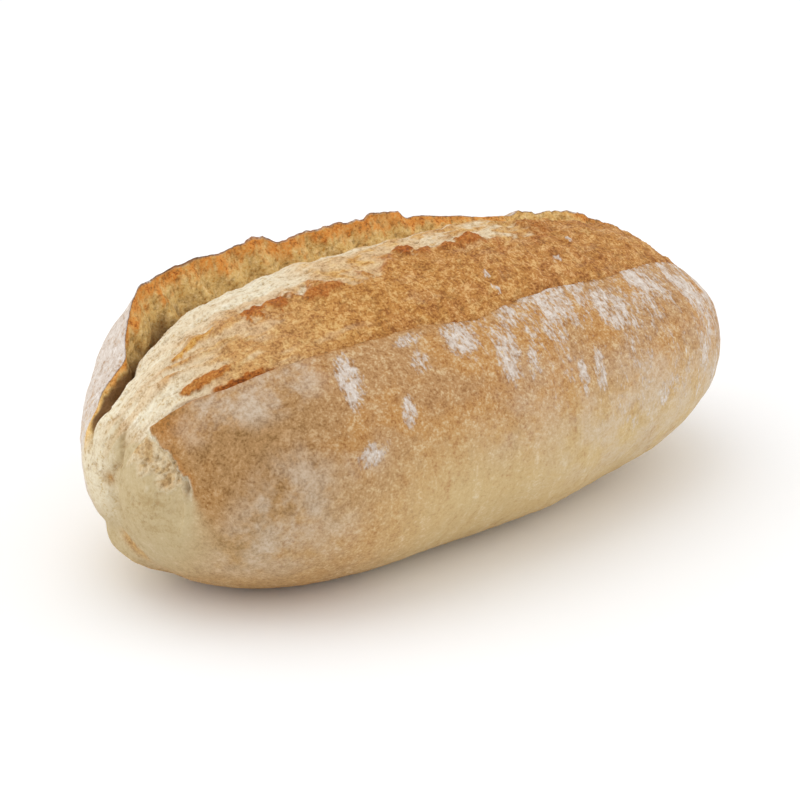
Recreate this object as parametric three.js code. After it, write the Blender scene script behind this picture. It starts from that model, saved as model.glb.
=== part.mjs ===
// A long oval sourdough loaf, slashed once along the top and burst open in the oven.
// Millimetres, +Z up, the long axis along X. The pale burst end points to -X.
import * as THREE from "three";

// Overall sizes of the loaf
const LENGTH = 280;
const WIDTH = 144;
const CRUST_HEIGHT = 99;
const BELLY_HEIGHT = 48.5;

// How square each end is, in plan, along the top and along the underside
const PLAN_POWER = { near: 3.42, far: 3 };
const TOP_POWER = { near: 4.6, far: 2.25 };
const UNDER_POWER = { near: 4.2, far: 2.05 };
const END_ROUND = 2.2;
const SIDE_POWER = 2.2;
const FAR_SQUARE = 0.5;
const UNDER_SIDE_POWER = 2.1;

// The flat spot that the loaf stands on
const SINK = 5.4;
const FLOOR_BLEND = 2.5;

// The slash: the near flap, the risen bloom and the ear that stands up beyond it
const FLAP_ANGLE = 29.5;
const FLAP_LIFT = 2.2;
const FLAP_STEP = 2.6;
const FLAP_START = -0.95;
const BLOOM_RISE = 9.5;
const CREVICE_DEPTH = 12;
const SLIT_DEPTH = 4;
const EAR_ANGLE = 26;
const EAR_TURN = 14;
const EAR_LIFT = 15.6;
const EAR_LEAN = 0.22;
const EAR_FALL_ANGLE = 44;
const EAR_JAG = 0.45;
const SHOULDER_SWELL = 6.5;

// Relief of the torn crumb
const CRAG_STEP = 1.8;
const CRUMB_WAVE = 0.7;
const TEAR_RECESS = 3.6;

// The pale end: a crease between two lobes, and a small foot below
const CREASE_DEPTH = 2.6;
const CREASE_WIDTH = 5;
const LOBE_SWELL = 2.4;
const FOOT_SWELL = 4.8;
const FOOT_CREASE = 0.8;

// Facets along the loaf and round each section
const RINGS = 66;
const NEAR_CRUST_STEPS = 24;
const LIP_STEPS = 2;
const BLOOM_STEPS = 20;
const WALL_STEPS = 6;
const FAR_CRUST_STEPS = 24;

const DEGREE = Math.PI / 180;
const ramp = THREE.MathUtils.smoothstep;
const clamp = THREE.MathUtils.clamp;
const bell = (value, middle, width) => Math.exp(-(((value - middle) / width) ** 2));
const signedPower = (value, power) => Math.sign(value) * Math.abs(value) ** power;

// Share of the full size that is left at a station, 0 in the middle and -1 or 1 at the ends
function hump(station, power, round) {
  const exponent = station < 0 ? power.near : power.far;
  return Math.max(0, 1 - Math.abs(station) ** exponent) ** (1 / round);
}

// A point of the plain crust, at an angle from the top that grows towards the far side
function crustPoint(station, angle) {
  const halfWidth = (WIDTH / 2) * hump(station, PLAN_POWER, END_ROUND);
  const above = (CRUST_HEIGHT - BELLY_HEIGHT) * hump(station, TOP_POWER, END_ROUND);
  const below = (BELLY_HEIGHT + SINK) * hump(station, UNDER_POWER, END_ROUND + 0.2);
  const upper = Math.abs(angle) <= Math.PI / 2;
  const square = SIDE_POWER + FAR_SQUARE * ramp(station, 0.45, 0.95);
  const power = 2 / (upper ? square : UNDER_SIDE_POWER);
  const across = halfWidth * signedPower(Math.sin(angle), power);
  const reach = upper ? above : below;
  return new THREE.Vector2(across, BELLY_HEIGHT + reach * signedPower(Math.cos(angle), power));
}

// Where the near flap is torn, as an angle from the top
function flapAngle(station) {
  const taper = 1 - 0.42 * ramp(station, 0.4, 0.97);
  const dip = 1 + 0.13 * bell(station, -0.03, 0.13);
  const start = 1 - 0.22 * ramp(-station, 0.75, 0.96);
  return -FLAP_ANGLE * taper * dip * start * DEGREE;
}

// Where the ear is torn, as an angle from the top
function earAngle(station) {
  const narrow = 12.5 * ramp(-station, 0.62, 0.9) + 4 * bell(station, -0.855, 0.022);
  const flare = 45 * ramp(-station, 0.94, 0.99);
  return (EAR_ANGLE - EAR_TURN * station - narrow + flare + slitMouth(station)) * DEGREE;
}

// How much wider the slash gapes where it runs out at the near end, in degrees
function slitMouth(station) {
  return 11 * ramp(-station, 0.85, 0.95);
}

// How far the crevice lies from the ear's edge, in degrees
function slitGap(station) {
  return 7 - 3.5 * ramp(-station, 0.72, 0.86) + slitMouth(station) + 13 * ramp(-station, 0.935, 0.985);
}

// Ragged height of the ear: one deep notch, two torn peaks and small teeth
function earLift(station) {
  const front = ramp(station, -0.9, -0.72);
  const back = 1 - ramp(station, 0.86, 1);
  const drop = 0.12 * ramp(station, -0.4, -0.22) + 0.08 * ramp(station, -0.06, 0.03);
  const sweep = EAR_LIFT * (1 - drop - 0.44 * ramp(station, 0, 0.46));
  const ends = ramp(station, 0.515, 0.55) + ramp(station, 0.6, 0.7) + ramp(-station, 0.4, 0.55);
  const firstPeak = 2.4 * bell(station, -0.31, 0.045);
  const plateau = ramp(station, 0.02, 0.06) * (1 - ramp(station, 0.14, 0.165));
  const secondPeak = plateau * (2.7 - 1.6 * ramp(station, 0.05, 0.15));
  const torn = firstPeak + secondPeak - 1.8 * bell(station, -0.252, 0.024);
  const teeth = Math.sin(station * 61) * 0.6 + Math.sin(station * 97 + 1.3) * 0.4;
  const jagged = 1 - 0.85 * ramp(station, 0.16, 0.2) * (1 - ramp(station, 0.48, 0.54));
  return front * back * (sweep + 0.8 * ends + torn + jagged * EAR_JAG * teeth);
}

// Height of the bloom over the plain crust
function bloomRise(station) {
  const climb = 0.68 * ramp(station, -0.95, -0.62) + 0.32 * ramp(station, -0.55, -0.3);
  const crown = 0.06 * bell(station, -0.33, 0.08);
  const fall = (1 - 0.42 * ramp(station, 0.2, 0.55)) * (1 - ramp(station, 0.72, 1));
  return BLOOM_RISE * (climb + crown) * fall;
}

// Depth of the crevice between the bloom and the ear
function creviceDepth(station) {
  const open = ramp(station, -0.97, -0.88);
  return CREVICE_DEPTH * open * (1 - 0.68 * ramp(station, -0.4, 0.5)) * (1 - ramp(station, 0.7, 0.96));
}

// Share across the bloom, from the flap, that is covered by the older brown skin
function skinShare(station) {
  const ragged = 0.02 * Math.sin(station * 47) + 0.015 * Math.sin(station * 83 + 2);
  const near = 0.33 + 0.06 * ramp(-station, 0.64, 0.76) - 0.035 * bell(station, -0.28, 0.08);
  const far = 0.09 * ramp(station, -0.22, -0.1) - 0.07 * bell(station, 0.26, 0.07);
  return near + far + 0.6 * ramp(station, 0.34, 0.52) + ragged;
}

// Raised skin, torn steps and soft waves on the bloom
function bloomRelief(station, share) {
  const ends = ramp(station, -0.97, -0.8) * (1 - ramp(station, 0.75, 0.97));
  const fade = Math.sin(Math.PI * share) ** 0.6 * ends;
  const step = ramp(skinShare(station) - share, -0.05, 0.05) - 0.5;
  const waves = Math.sin(station * 39 + share * 9) * Math.sin(station * 21 - share * 14 + 1);
  return fade * (CRAG_STEP * step + CRUMB_WAVE * waves);
}

// One section of the loaf as points (across, up), from the underside round the near flank.
// A point may carry its share of the slit that runs down the pale end.
function sectionAt(station) {
  const points = [];
  const flap = flapAngle(station);
  const ear = earAngle(station);
  const lift = earLift(station);
  const flapped = ramp(station, FLAP_START - 0.014, FLAP_START + 0.004) * (1 - ramp(station, 0.82, 0.97));
  const curl = FLAP_LIFT * flapped * (1 - 0.7 * ramp(station, -0.75, -0.1));
  const step = FLAP_STEP * flapped * (1 - 0.45 * ramp(station, -0.75, -0.1));

  for (let i = 0; i <= NEAR_CRUST_STEPS; i++) {
    const angle = -Math.PI + ((flap + Math.PI) * i) / NEAR_CRUST_STEPS;
    const point = crustPoint(station, angle);
    const raised = clamp(1 - (flap - angle) / (22 * DEGREE), 0, 1) ** 2;
    point.x -= 0.3 * curl * raised;
    point.y += curl * raised;
    points.push(point);
  }

  const lipTop = points[points.length - 1];
  const lipFoot = lipTop.clone().add(new THREE.Vector2(0.3 * step, -step));
  for (let i = 1; i <= LIP_STEPS; i++) {
    points.push(lipTop.clone().lerp(lipFoot, i / LIP_STEPS));
  }

  const tight = ramp(-station, 0.72, 0.84) * (1 - ramp(-station, 0.84, 0.95));
  const overhang = 0.1 * tight - 0.06;
  const crevice = crustPoint(station, ear - slitGap(station) * DEGREE);
  crevice.y -= creviceDepth(station);
  const span = crevice.distanceTo(lipFoot);
  const crest = crustPoint(station, 0).y + bloomRise(station);
  const handle = Math.max(0, crest - (lipFoot.y + crevice.y) / 2) / 0.75;
  const bloom = new THREE.CubicBezierCurve(
    lipFoot,
    lipFoot.clone().add(new THREE.Vector2(0.42 * span, 0.8 * handle)),
    crevice.clone().add(new THREE.Vector2(overhang * span, 1.2 * handle)),
    crevice,
  );
  for (let i = 1; i <= BLOOM_STEPS; i++) {
    const share = i / BLOOM_STEPS;
    const along = bloom.getTangent(share);
    const relief = bloomRelief(station, share);
    const point = bloom.getPoint(share).add(new THREE.Vector2(-along.y, along.x).multiplyScalar(relief));
    point.slit = ramp(share, 0.84, 1);
    points.push(point);
  }

  const farCrust = [];
  for (let i = 0; i < FAR_CRUST_STEPS; i++) {
    const angle = ear + ((Math.PI - ear) * i) / FAR_CRUST_STEPS;
    const point = crustPoint(station, angle);
    const raised = clamp(1 - (angle - ear) / (EAR_FALL_ANGLE * DEGREE), 0, 1) ** 2;
    const bulge = bell(station, -0.74, 0.12) * bell(angle - ear, 30 * DEGREE, 20 * DEGREE);
    const shoulder = SHOULDER_SWELL * bulge;
    point.x += EAR_LEAN * lift * raised + 0.7 * shoulder;
    point.y += lift * raised + 0.7 * shoulder;
    farCrust.push(point);
  }

  for (let i = 1; i < WALL_STEPS; i++) {
    const share = i / WALL_STEPS;
    const rough = 0.12 * lift * Math.sin(Math.PI * share) * Math.sin(station * 55 + share * 4);
    const point = crevice.clone().lerp(farCrust[0], share);
    point.x += rough;
    point.slit = (1 - share) ** 2;
    points.push(point);
  }
  points.push(...farCrust);
  return points;
}

// Pushes the pale end out into two lobes and a foot, parted by a crease
function endSwell(across, up) {
  const middle = 1 - 0.14 * (up - BELLY_HEIGHT);
  const crease = CREASE_DEPTH * bell(across, middle, CREASE_WIDTH) * bell(up, BELLY_HEIGHT - 2, 24);
  const lobes = LOBE_SWELL * (bell(across, 16, 13) + bell(across, -22, 13)) * bell(up, BELLY_HEIGHT, 20);
  return lobes - crease;
}

// The small foot of dough under the pale end, with a groove round it
function footSwell(station, across, up) {
  const reach = Math.hypot((across - 8.5) / 14, (up - 13) / 14.5);
  const swell = FOOT_SWELL * ramp(1.25 - reach, 0, 0.95) - FOOT_CREASE * bell(reach, 1.1, 0.16);
  return swell * ramp(-station, 0.72, 0.93);
}

// Torn hollow in front of the near flap, just before the pale end swells out
function tearHollow(station, across, up) {
  const window = ramp(-station, 0.944, 0.952) * (1 - ramp(-station, 0.958, 0.99));
  return TEAR_RECESS * window * ramp(-across, 10, 20) * bell(up, 57, 14) * (1 - ramp(up, 62, 72));
}

// Slow swellings of the flanks, and the near flank drawn in low down, so that the crust is not a perfect oval
function flankSwell(along, across, up) {
  const shift = across < 0 ? 0 : 2.4;
  const long = Math.sin(along * 0.052 + up * 0.02 + shift);
  const short = Math.sin(along * 0.107 - up * 0.045 + 1.7 - shift);
  const tuck = across < 0 ? 4.2 * bell(along, 54, 18) + 1.8 * bell(along, -14, 34) : 0;
  return (0.9 * long + 0.6 * short) * bell(up, 36, 34) - tuck * bell(up, 18, 16);
}

// Presses whatever would hang below the table into a flat foot with a soft edge
function rested(up) {
  if (up < -FLOOR_BLEND) {
    return 0;
  }
  return up > FLOOR_BLEND ? up : (up + FLOOR_BLEND) ** 2 / (4 * FLOOR_BLEND);
}

// The whole surface as rings of points, closed by one point at each end
function loafGeometry() {
  const positions = [];
  const indices = [];
  let count = 0;
  for (let ring = 1; ring < RINGS; ring++) {
    const station = -Math.cos((Math.PI * ring) / RINGS);
    const points = sectionAt(station);
    count = points.length;
    const endShare = ramp(-station, 0.86, 0.99);
    const slitShare = ramp(-station, 0.84, 0.97) * (1 - ramp(-station, 0.974, 0.994));
    for (const point of points) {
      const along = (station * LENGTH) / 2;
      const side = point.x / (WIDTH / 2);
      const swell = flankSwell(along, point.x, point.y) * (1 - Math.abs(station) ** 4);
      const across = point.x + side * swell;
      const slit = SLIT_DEPTH * (point.slit ?? 0) * slitShare;
      const hollow = tearHollow(station, across, point.y) + slit;
      const swollen = endShare * endSwell(across, point.y) + footSwell(station, across, point.y);
      const pushed = along - swollen + hollow;
      positions.push(pushed, across, rested(point.y));
    }
  }

  const rows = RINGS - 1;
  for (let row = 0; row < rows - 1; row++) {
    for (let i = 0; i < count; i++) {
      const next = (i + 1) % count;
      const a = row * count + i;
      const b = row * count + next;
      indices.push(a, a + count, b);
      indices.push(b, a + count, b + count);
    }
  }

  const nearPole = positions.length / 3;
  positions.push(-LENGTH / 2 - endSwell(0, BELLY_HEIGHT), 0, BELLY_HEIGHT);
  positions.push(LENGTH / 2, 0, BELLY_HEIGHT);
  const last = (rows - 1) * count;
  for (let i = 0; i < count; i++) {
    const next = (i + 1) % count;
    indices.push(nearPole, i, next);
    indices.push(nearPole + 1, last + next, last + i);
  }

  const geometry = new THREE.BufferGeometry();
  geometry.setAttribute("position", new THREE.Float32BufferAttribute(positions, 3));
  geometry.setIndex(indices);
  geometry.computeBoundingBox();
  const box = geometry.boundingBox;
  geometry.translate(-(box.min.x + box.max.x) / 2, -(box.min.y + box.max.y) / 2, -box.min.z);
  geometry.computeVertexNormals();
  return geometry;
}

const crust = new THREE.MeshStandardMaterial({ color: 0xc89a5c, roughness: 0.85, metalness: 0 });
const loaf = new THREE.Mesh(loafGeometry(), crust);
loaf.name = "loaf";

const group = new THREE.Group();
group.name = "sourdough_loaf";
group.add(loaf);

export default group;
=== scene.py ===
"""A long oval sourdough loaf, slashed along the top and burst open, on a plain pale stage."""

import functools
import itertools
import math

import bpy
import numpy as np
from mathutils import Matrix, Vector


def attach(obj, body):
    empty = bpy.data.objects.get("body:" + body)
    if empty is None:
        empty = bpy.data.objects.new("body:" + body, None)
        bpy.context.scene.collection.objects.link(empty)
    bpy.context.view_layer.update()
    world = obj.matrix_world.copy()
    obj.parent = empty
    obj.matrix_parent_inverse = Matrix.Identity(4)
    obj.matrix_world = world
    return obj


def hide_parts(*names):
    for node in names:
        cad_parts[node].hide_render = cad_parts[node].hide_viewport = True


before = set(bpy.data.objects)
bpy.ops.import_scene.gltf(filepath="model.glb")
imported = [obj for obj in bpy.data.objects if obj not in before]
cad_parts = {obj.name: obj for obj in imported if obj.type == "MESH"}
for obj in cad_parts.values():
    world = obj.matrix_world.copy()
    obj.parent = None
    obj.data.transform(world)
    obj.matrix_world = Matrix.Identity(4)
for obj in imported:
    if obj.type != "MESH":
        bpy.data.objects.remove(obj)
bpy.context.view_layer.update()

bl_info = {
    "name": "Sourdough loaf",
    "version": (1, 0, 0),
    "blender": (4, 5, 0),
    "location": "3D View > Sidebar > Loaf",
    "description": "Builds an oval sourdough loaf with a burst slash, and a pale stage for it",
    "category": "Add Mesh",
}

MILLIMETRE = 0.001
DEGREE = math.pi / 180

# How square each end is, in plan, along the top and along the underside: near end, far end
PLAN_POWER = (3.42, 3)
TOP_POWER = (4.6, 2.25)
UNDER_POWER = (4.2, 2.05)
END_ROUND = 2.2
SIDE_POWER = 2.2
FAR_SQUARE = 0.5
UNDER_SIDE_POWER = 2.1

# The flat spot that the loaf stands on, in millimetres
SINK = 5.4
FLOOR_BLEND = 2.5

# The slash, in degrees and millimetres
FLAP_ANGLE = 29.5
FLAP_CURL_ANGLE = 22
FLAP_LEAN = 0.3
FLAP_STEP = 2.6
FLAP_START = -0.95
SLIT_DEPTH = 4
EAR_ANGLE = 26
EAR_TURN = 14
EAR_LEAN = 0.22
EAR_FALL_ANGLE = 44
EAR_JAG = 0.45

# The far crust's shoulder behind the ear: how far out and up, and where, in degrees from the ear
SHOULDER_SWELL = 4.55
SHOULDER_ANGLE = 30
SHOULDER_WIDTH = 20

# The bloom's curve: reach and lift of its two handles, and how much of the lift its crest has
BLOOM_REACH = 0.42
BLOOM_NEAR_LIFT = 0.8
BLOOM_FAR_LIFT = 1.2
BLOOM_CREST = 0.75

# Length over the bloom for one millimetre of its span
BLOOM_GIRTH = 1.12

# Relief of the torn crumb and of the pale end, in millimetres
CRAG_STEP = 1.08
CRUMB_WAVE = 0.7
TEAR_RECESS = 3.6
CREASE_DEPTH = 2.6
CREASE_WIDTH = 5
LOBE_SWELL = 2.4
FOOT_SWELL = 4.8
FOOT_CREASE = 0.8

# The foot of dough under the pale end: its middle and its radii, across and up, in millimetres
FOOT_MIDDLE = (8.5, 13)
FOOT_RADII = (14, 14.5)

# A dimple in the pale end: across, up, radius and depth in millimetres
DIMPLE = (4.4, 49.4, 1.9, 1.1)

# Millimetres along the surface for one unit of station, where the near flap is torn off
TEAR_PACE = 290

# Facets along the loaf and round each section, how much they crowd towards the slash, and strip numbers
RINGS = 400
NEAR_END_DENSITY = 1.25
NEAR_STEPS = 66
NEAR_CROWDING = 1.55
LIP_STEPS = 4
BLOOM_STEPS = 110
WALL_STEPS = 28
FAR_STEPS = 42
FAR_CROWDING = 1.35
BLOOM, WALL, FAR = range(2, 5)

# Edge of the baking map that the two end points take up
MAP_MARGIN = 0.01

# Torn flakes of the brown skin: station, share across the bloom, half length, half width, height, toasting
FLAKES = (
    (-0.77, 0.35, 10, 0.7, 0.5, 0.12),
    (-0.806, 0.118, 8, 0.9, 0.9, 0.8),
    (-0.74, 0.028, 10, 1.2, 0.6, 0.95),
    (-0.587, 0.328, 4.8, 1.7, 1.4, 1),
    (-0.512, 0.332, 4.2, 2, 1.6, 1),
    (-0.392, 0.297, 7, 1.3, 1, 0.8),
    (-0.061, 0.462, 3.6, 2.2, 1.7, 1),
    (-0.015, 0.41, 4.5, 1.1, 0.9, 0.6),
    (0.08, 0.395, 6, 1.2, 1, 0.65),
    (0.15, 0.42, 4, 1.6, 1.4, 0.9),
)

# Clods of flour on the bloom: station and share across it
CLODS = ((0.097, 0.17), (0.09, 0.089), (0.361, 0.17), (0.472, 0.321))

# Flour on the near flank: millimetres along the loaf and below the flap, half width, half length, strength
FLOUR_PATCHES = (
    (-70, 14, 5, 11, 1),
    (-38, 4.5, 7, 3, 0.85),
    (-18, 7.5, 8, 8, 1.05),
    (-39, 14.5, 4.5, 5.5, 0.85),
    (7, 5, 6, 6, 0.95),
    (-2, 16, 6, 13, 1),
    (6, 26, 3.5, 6, 0.85),
    (26, 8, 2.8, 7, 1),
    (36, 11, 3.4, 9, 1),
    (52, 13, 4.6, 10, 1),
    (54, 20.5, 5.5, 4, 0.95),
    (77, 10, 12, 9, 0.8),
    (72, 25, 1.8, 9, 0.85),
    (104, 18, 5, 9, 1),
    (107, 33, 3, 10, 1),
    (99, 45, 2.6, 5, 0.9),
    (35, 39, 3, 11, 0.85),
    (26, 39, 2.4, 9, 0.75),
    (72, 53, 7, 6, 0.72),
    (-74, 42, 7, 4.5, 0.8),
    (-54, 32, 3.2, 5.5, 0.8),
)

# Thin haze of flour on the near flank: the same
HAZE_PATCHES = (
    (-103, 7, 26, 10, 1.25),
    (-108, 54, 16, 22, 1.1),
    (-98, 70, 18, 14, 0.6),
    (-78, 44, 10, 8, 0.5),
    (0, 42, 26, 18, 0.5),
    (66, 60, 56, 26, 0.95),
)
FAR_PATCH_COUNT = 30

# How far a patch of flour leans towards the pale end on its way down
FLOUR_LEAN = 0.25

# Tilt of the flour's grain round the Y axis, in radians
FLOUR_TILT = 0.25

# Fine bump of the crust, the distance in metres
BUMP_STRENGTH = 0.8
BUMP_DISTANCE = 0.0012

# Camera, in millimetres and degrees, and how far it sees, in metres
CAMERA_TURN = -39.47
CAMERA_RISE = 23
CAMERA_DISTANCE = 1158.6
CAMERA_TARGET = (-5.76, 1.24, 45.39)
CAMERA_LENS = 135
CAMERA_SENSOR = 36
CAMERA_SIGHT = 50

# Stage, in metres: half the floor's side, then each light's name, power setting, size and place
FLOOR_HALF = 3
LIGHT_TARGET = (0, 0, 0.05)
LIGHTS = (
    ("top light", "top_power", 1.2, (-0.2, 0.2, 1.3)),
    ("left light", "side_power", 0.9, (-1.05, 0.6, 0.6)),
    ("right light", "side_power", 0.9, (1.05, -0.75, 0.6)),
)


# Plain curves that the form is made of


def ramp(value, low, high):
    """Smooth step from 0 at low to 1 at high."""
    share = np.clip((value - low) / (high - low), 0, 1)
    return share * share * (3 - 2 * share)


def fade(value, full, gone):
    """Smooth step from 1 at full to 0 at gone."""
    return 1 - ramp(value, full, gone)


def window(value, rise, full, fall, gone):
    """Smooth step up from rise to full, and down again from fall to gone."""
    return ramp(value, rise, full) * fade(value, fall, gone)


def bell(value, middle, width):
    """Smooth bump of height 1."""
    return np.exp(-(((value - middle) / width) ** 2))


def most(*parts):
    """The largest of several values, point by point."""
    return functools.reduce(np.maximum, parts)


def signed_power(value, power):
    """Power of the size of a value, with its sign kept."""
    return np.sign(value) * np.abs(value) ** power


def hump(station, powers, rounding):
    """Share of the full size that is left at a station, 0 in the middle and -1 or 1 at the ends."""
    exponent = np.where(station < 0, powers[0], powers[1])
    return most(0, 1 - np.abs(station) ** exponent) ** (1 / rounding)


# Seeded noise for torn edges, crumb and crust, with the twelve directions from a cube's middle to its edges

GRADIENTS = np.array([way for way in itertools.product((-1, 0, 1), repeat=3) if way.count(0) == 1])


def shuffled(table, cell):
    """A stray but lasting number for each cell of a grid."""
    key = cell & 255
    return table[(table[(table[key[..., 0]] + key[..., 1]) & 255] + key[..., 2]) & 255]


def soft_noise(points, seed):
    """Smooth noise between about -1 and 1, one bump to a unit."""
    table = np.random.default_rng(seed).permutation(256)
    cell = np.floor(points).astype(int)
    local = points - cell
    eased = local**3 * (local * (local * 6 - 15) + 10)
    total = np.zeros(points.shape[:-1])
    for corner in np.ndindex(2, 2, 2):
        offset = np.array(corner)
        gradient = GRADIENTS[shuffled(table, cell + offset) % len(GRADIENTS)]
        slope = (gradient * (local - offset)).sum(-1)
        total += slope * np.prod(np.where(offset == 1, eased, 1 - eased), axis=-1)
    return total


def noise(points, seed, octaves=3):
    """Noise with finer and fainter noise on top."""
    total = np.zeros(points.shape[:-1])
    for octave in range(octaves):
        total += soft_noise(points * 2**octave, seed + octave) / 1.8**octave
    return total


def pore_distance(points, seed):
    """Distance to the nearest of one stray point in each cell of a grid."""
    random = np.random.default_rng(seed)
    table = random.permutation(256)
    jitter = random.random((256, 3))
    cell = np.floor(points).astype(int)
    nearest = np.full(points.shape[:-1], np.inf)
    for corner in np.ndindex(3, 3, 3):
        other = cell + np.array(corner) - 1
        away = other + jitter[shuffled(table, other)] - points
        nearest = np.minimum(nearest, np.sqrt((away**2).sum(-1)))
    return nearest


def stacked(*parts):
    """Arrays that broadcast together, joined as the coordinates of points."""
    return np.stack(np.broadcast_arrays(*parts), axis=-1)


# The loaf's sections


def crust_point(shape, station, angle):
    """Points (across, up) of the plain crust, at angles from the top, far side positive."""
    half_width = shape["width"] / 2 * hump(station, PLAN_POWER, END_ROUND)
    above = (shape["crust_height"] - shape["belly_height"]) * hump(station, TOP_POWER, END_ROUND)
    below = (shape["belly_height"] + SINK) * hump(station, UNDER_POWER, END_ROUND + 0.2)
    upper = np.abs(angle) <= math.pi / 2
    square = SIDE_POWER + FAR_SQUARE * ramp(station, 0.45, 0.95)
    power = 2 / np.where(upper, square, UNDER_SIDE_POWER)
    across = half_width * signed_power(np.sin(angle), power)
    up = shape["belly_height"] + np.where(upper, above, below) * signed_power(np.cos(angle), power)
    return stacked(across, up)


def flap_angle(shape, station):
    """Where the near flap is torn, as an angle from the top."""
    taper = 1 - 0.42 * ramp(station, 0.4, 0.97)
    dip = 1 + 0.13 * bell(station, -0.03, 0.13)
    start = 1 - 0.22 * ramp(-station, 0.75, 0.96)
    along = station * shape["length"] / 2
    ragged = 0.7 * noise(stacked(along / 9, 0.3, 0.7), 11) * ramp(station, -0.95, -0.85)
    return -(FLAP_ANGLE * taper * dip * start + ragged) * DEGREE


def ear_angle(station):
    """Where the ear is torn, as an angle from the top."""
    narrow = 12.5 * ramp(-station, 0.62, 0.9) + 4 * bell(station, -0.855, 0.022)
    flare = 45 * ramp(-station, 0.94, 0.99)
    return (EAR_ANGLE - EAR_TURN * station - narrow + flare + slit_mouth(station)) * DEGREE


def slit_mouth(station):
    """How much wider the slash gapes where it runs out at the near end, in degrees."""
    return 11 * ramp(-station, 0.85, 0.95)


def slit_gap(station):
    """How far the crevice lies from the ear's edge, in degrees."""
    open_end = 13 * ramp(-station, 0.935, 0.985)
    return 7 - 3.5 * ramp(-station, 0.72, 0.86) + slit_mouth(station) + open_end


def ear_lift(shape, station):
    """Ragged height of the ear: one deep notch, two torn peaks and small teeth."""
    ends = window(station, -0.9, -0.72, 0.86, 1)
    drop = 0.12 * ramp(station, -0.4, -0.22) + 0.08 * ramp(station, -0.06, 0.03)
    sweep = shape["ear_lift"] * (1 - drop - 0.44 * ramp(station, 0, 0.46))
    steps = ramp(station, 0.515, 0.55) + ramp(station, 0.6, 0.7) + ramp(-station, 0.4, 0.55)
    plateau = window(station, 0.02, 0.06, 0.14, 0.165) * (2.7 - 1.6 * ramp(station, 0.05, 0.15))
    torn = 2.4 * bell(station, -0.31, 0.045) + plateau - 1.8 * bell(station, -0.252, 0.024)
    teeth = np.sin(station * 61) * 0.6 + np.sin(station * 97 + 1.3) * 0.4
    along = station * shape["length"] / 2
    fine = 1.2 * noise(stacked(along / 5, 0.4, 0.2), 21) * (0.3 + 0.7 * ramp(station, -0.5, -0.3))
    jagged = 1 - 0.85 * window(station, 0.16, 0.2, 0.48, 0.54)
    return ends * (sweep + 0.8 * steps + torn + jagged * (EAR_JAG * teeth + fine))


def bloom_rise(shape, station):
    """Height of the bloom over the plain crust."""
    climb = 0.68 * ramp(station, -0.95, -0.62) + 0.32 * ramp(station, -0.55, -0.3)
    crown = 0.06 * bell(station, -0.33, 0.08)
    fall = (1 - 0.42 * ramp(station, 0.2, 0.55)) * fade(station, 0.72, 1)
    return shape["bloom_rise"] * (climb + crown) * fall


def crevice_depth(shape, station):
    """Depth of the crevice between the bloom and the ear."""
    opening = window(station, -0.97, -0.88, 0.7, 0.96)
    return shape["crevice_depth"] * opening * (1 - 0.68 * ramp(station, -0.4, 0.5))


def skin_share(station):
    """Share across the bloom, from the flap, that is covered by the older brown skin."""
    ragged = 0.02 * np.sin(station * 47) + 0.015 * np.sin(station * 83 + 2)
    near = 0.33 + 0.06 * ramp(-station, 0.64, 0.76) - 0.035 * bell(station, -0.28, 0.08)
    far = 0.09 * ramp(station, -0.22, -0.1) - 0.07 * bell(station, 0.26, 0.07)
    return near + far + 0.6 * ramp(station, 0.34, 0.52) + ragged


def bloom_relief(station, share):
    """Soft waves on the bloom."""
    ends = window(station, -0.97, -0.8, 0.75, 0.97)
    waves = np.sin(station * 39 + share * 9) * np.sin(station * 21 - share * 14 + 1)
    return np.sin(math.pi * share) ** 0.6 * ends * CRUMB_WAVE * waves


def bloom_section(shape, station, share, foot, low):
    """Points across the bloom, on a curve from the lip's foot to the crevice, and its straight span."""
    overhang = 0.1 * window(-station, 0.72, 0.84, 0.84, 0.95) - 0.06
    span = np.linalg.norm(low - foot, axis=-1)
    crest = crust_point(shape, station, np.zeros_like(station))[..., 1] + bloom_rise(shape, station)
    handle = most(0, crest - (foot + low)[..., 1] / 2) / BLOOM_CREST
    near_hold = foot + stacked(BLOOM_REACH * span, BLOOM_NEAR_LIFT * handle)
    far_hold = low + stacked(overhang * span, BLOOM_FAR_LIFT * handle)
    part = share[:, None]
    rest = 1 - part
    near_curve = rest**3 * foot + 3 * rest**2 * part * near_hold
    far_curve = 3 * rest * part**2 * far_hold + part**3 * low
    run = rest**2 * (near_hold - foot) + 2 * rest * part * (far_hold - near_hold) + part**2 * (low - far_hold)
    run = run / most(np.linalg.norm(run, axis=-1, keepdims=True), 1e-6)
    relief = bloom_relief(station, share)
    return near_curve + far_curve + stacked(-relief * run[..., 1], relief * run[..., 0]), span


def end_swell(shape, across, up):
    """How far the pale end is pushed out into two lobes, parted by a crease."""
    belly = shape["belly_height"]
    middle = 1 - 0.14 * (up - belly)
    crease = CREASE_DEPTH * bell(across, middle, CREASE_WIDTH) * bell(up, belly - 2, 24)
    lobes = LOBE_SWELL * (bell(across, 16, 13) + bell(across, -22, 13)) * bell(up, belly, 20)
    return lobes - crease


def foot_reach(across, up):
    """Distance from the middle of the foot of dough, 1 near its rim."""
    return np.hypot((across - FOOT_MIDDLE[0]) / FOOT_RADII[0], (up - FOOT_MIDDLE[1]) / FOOT_RADII[1])


def foot_swell(station, across, up):
    """The small foot of dough under the pale end."""
    reach = foot_reach(across, up)
    swell = FOOT_SWELL * ramp(1.25 - reach, 0, 0.95) - FOOT_CREASE * bell(reach, 1.1, 0.16)
    return ramp(-station, 0.72, 0.93) * swell


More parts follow.
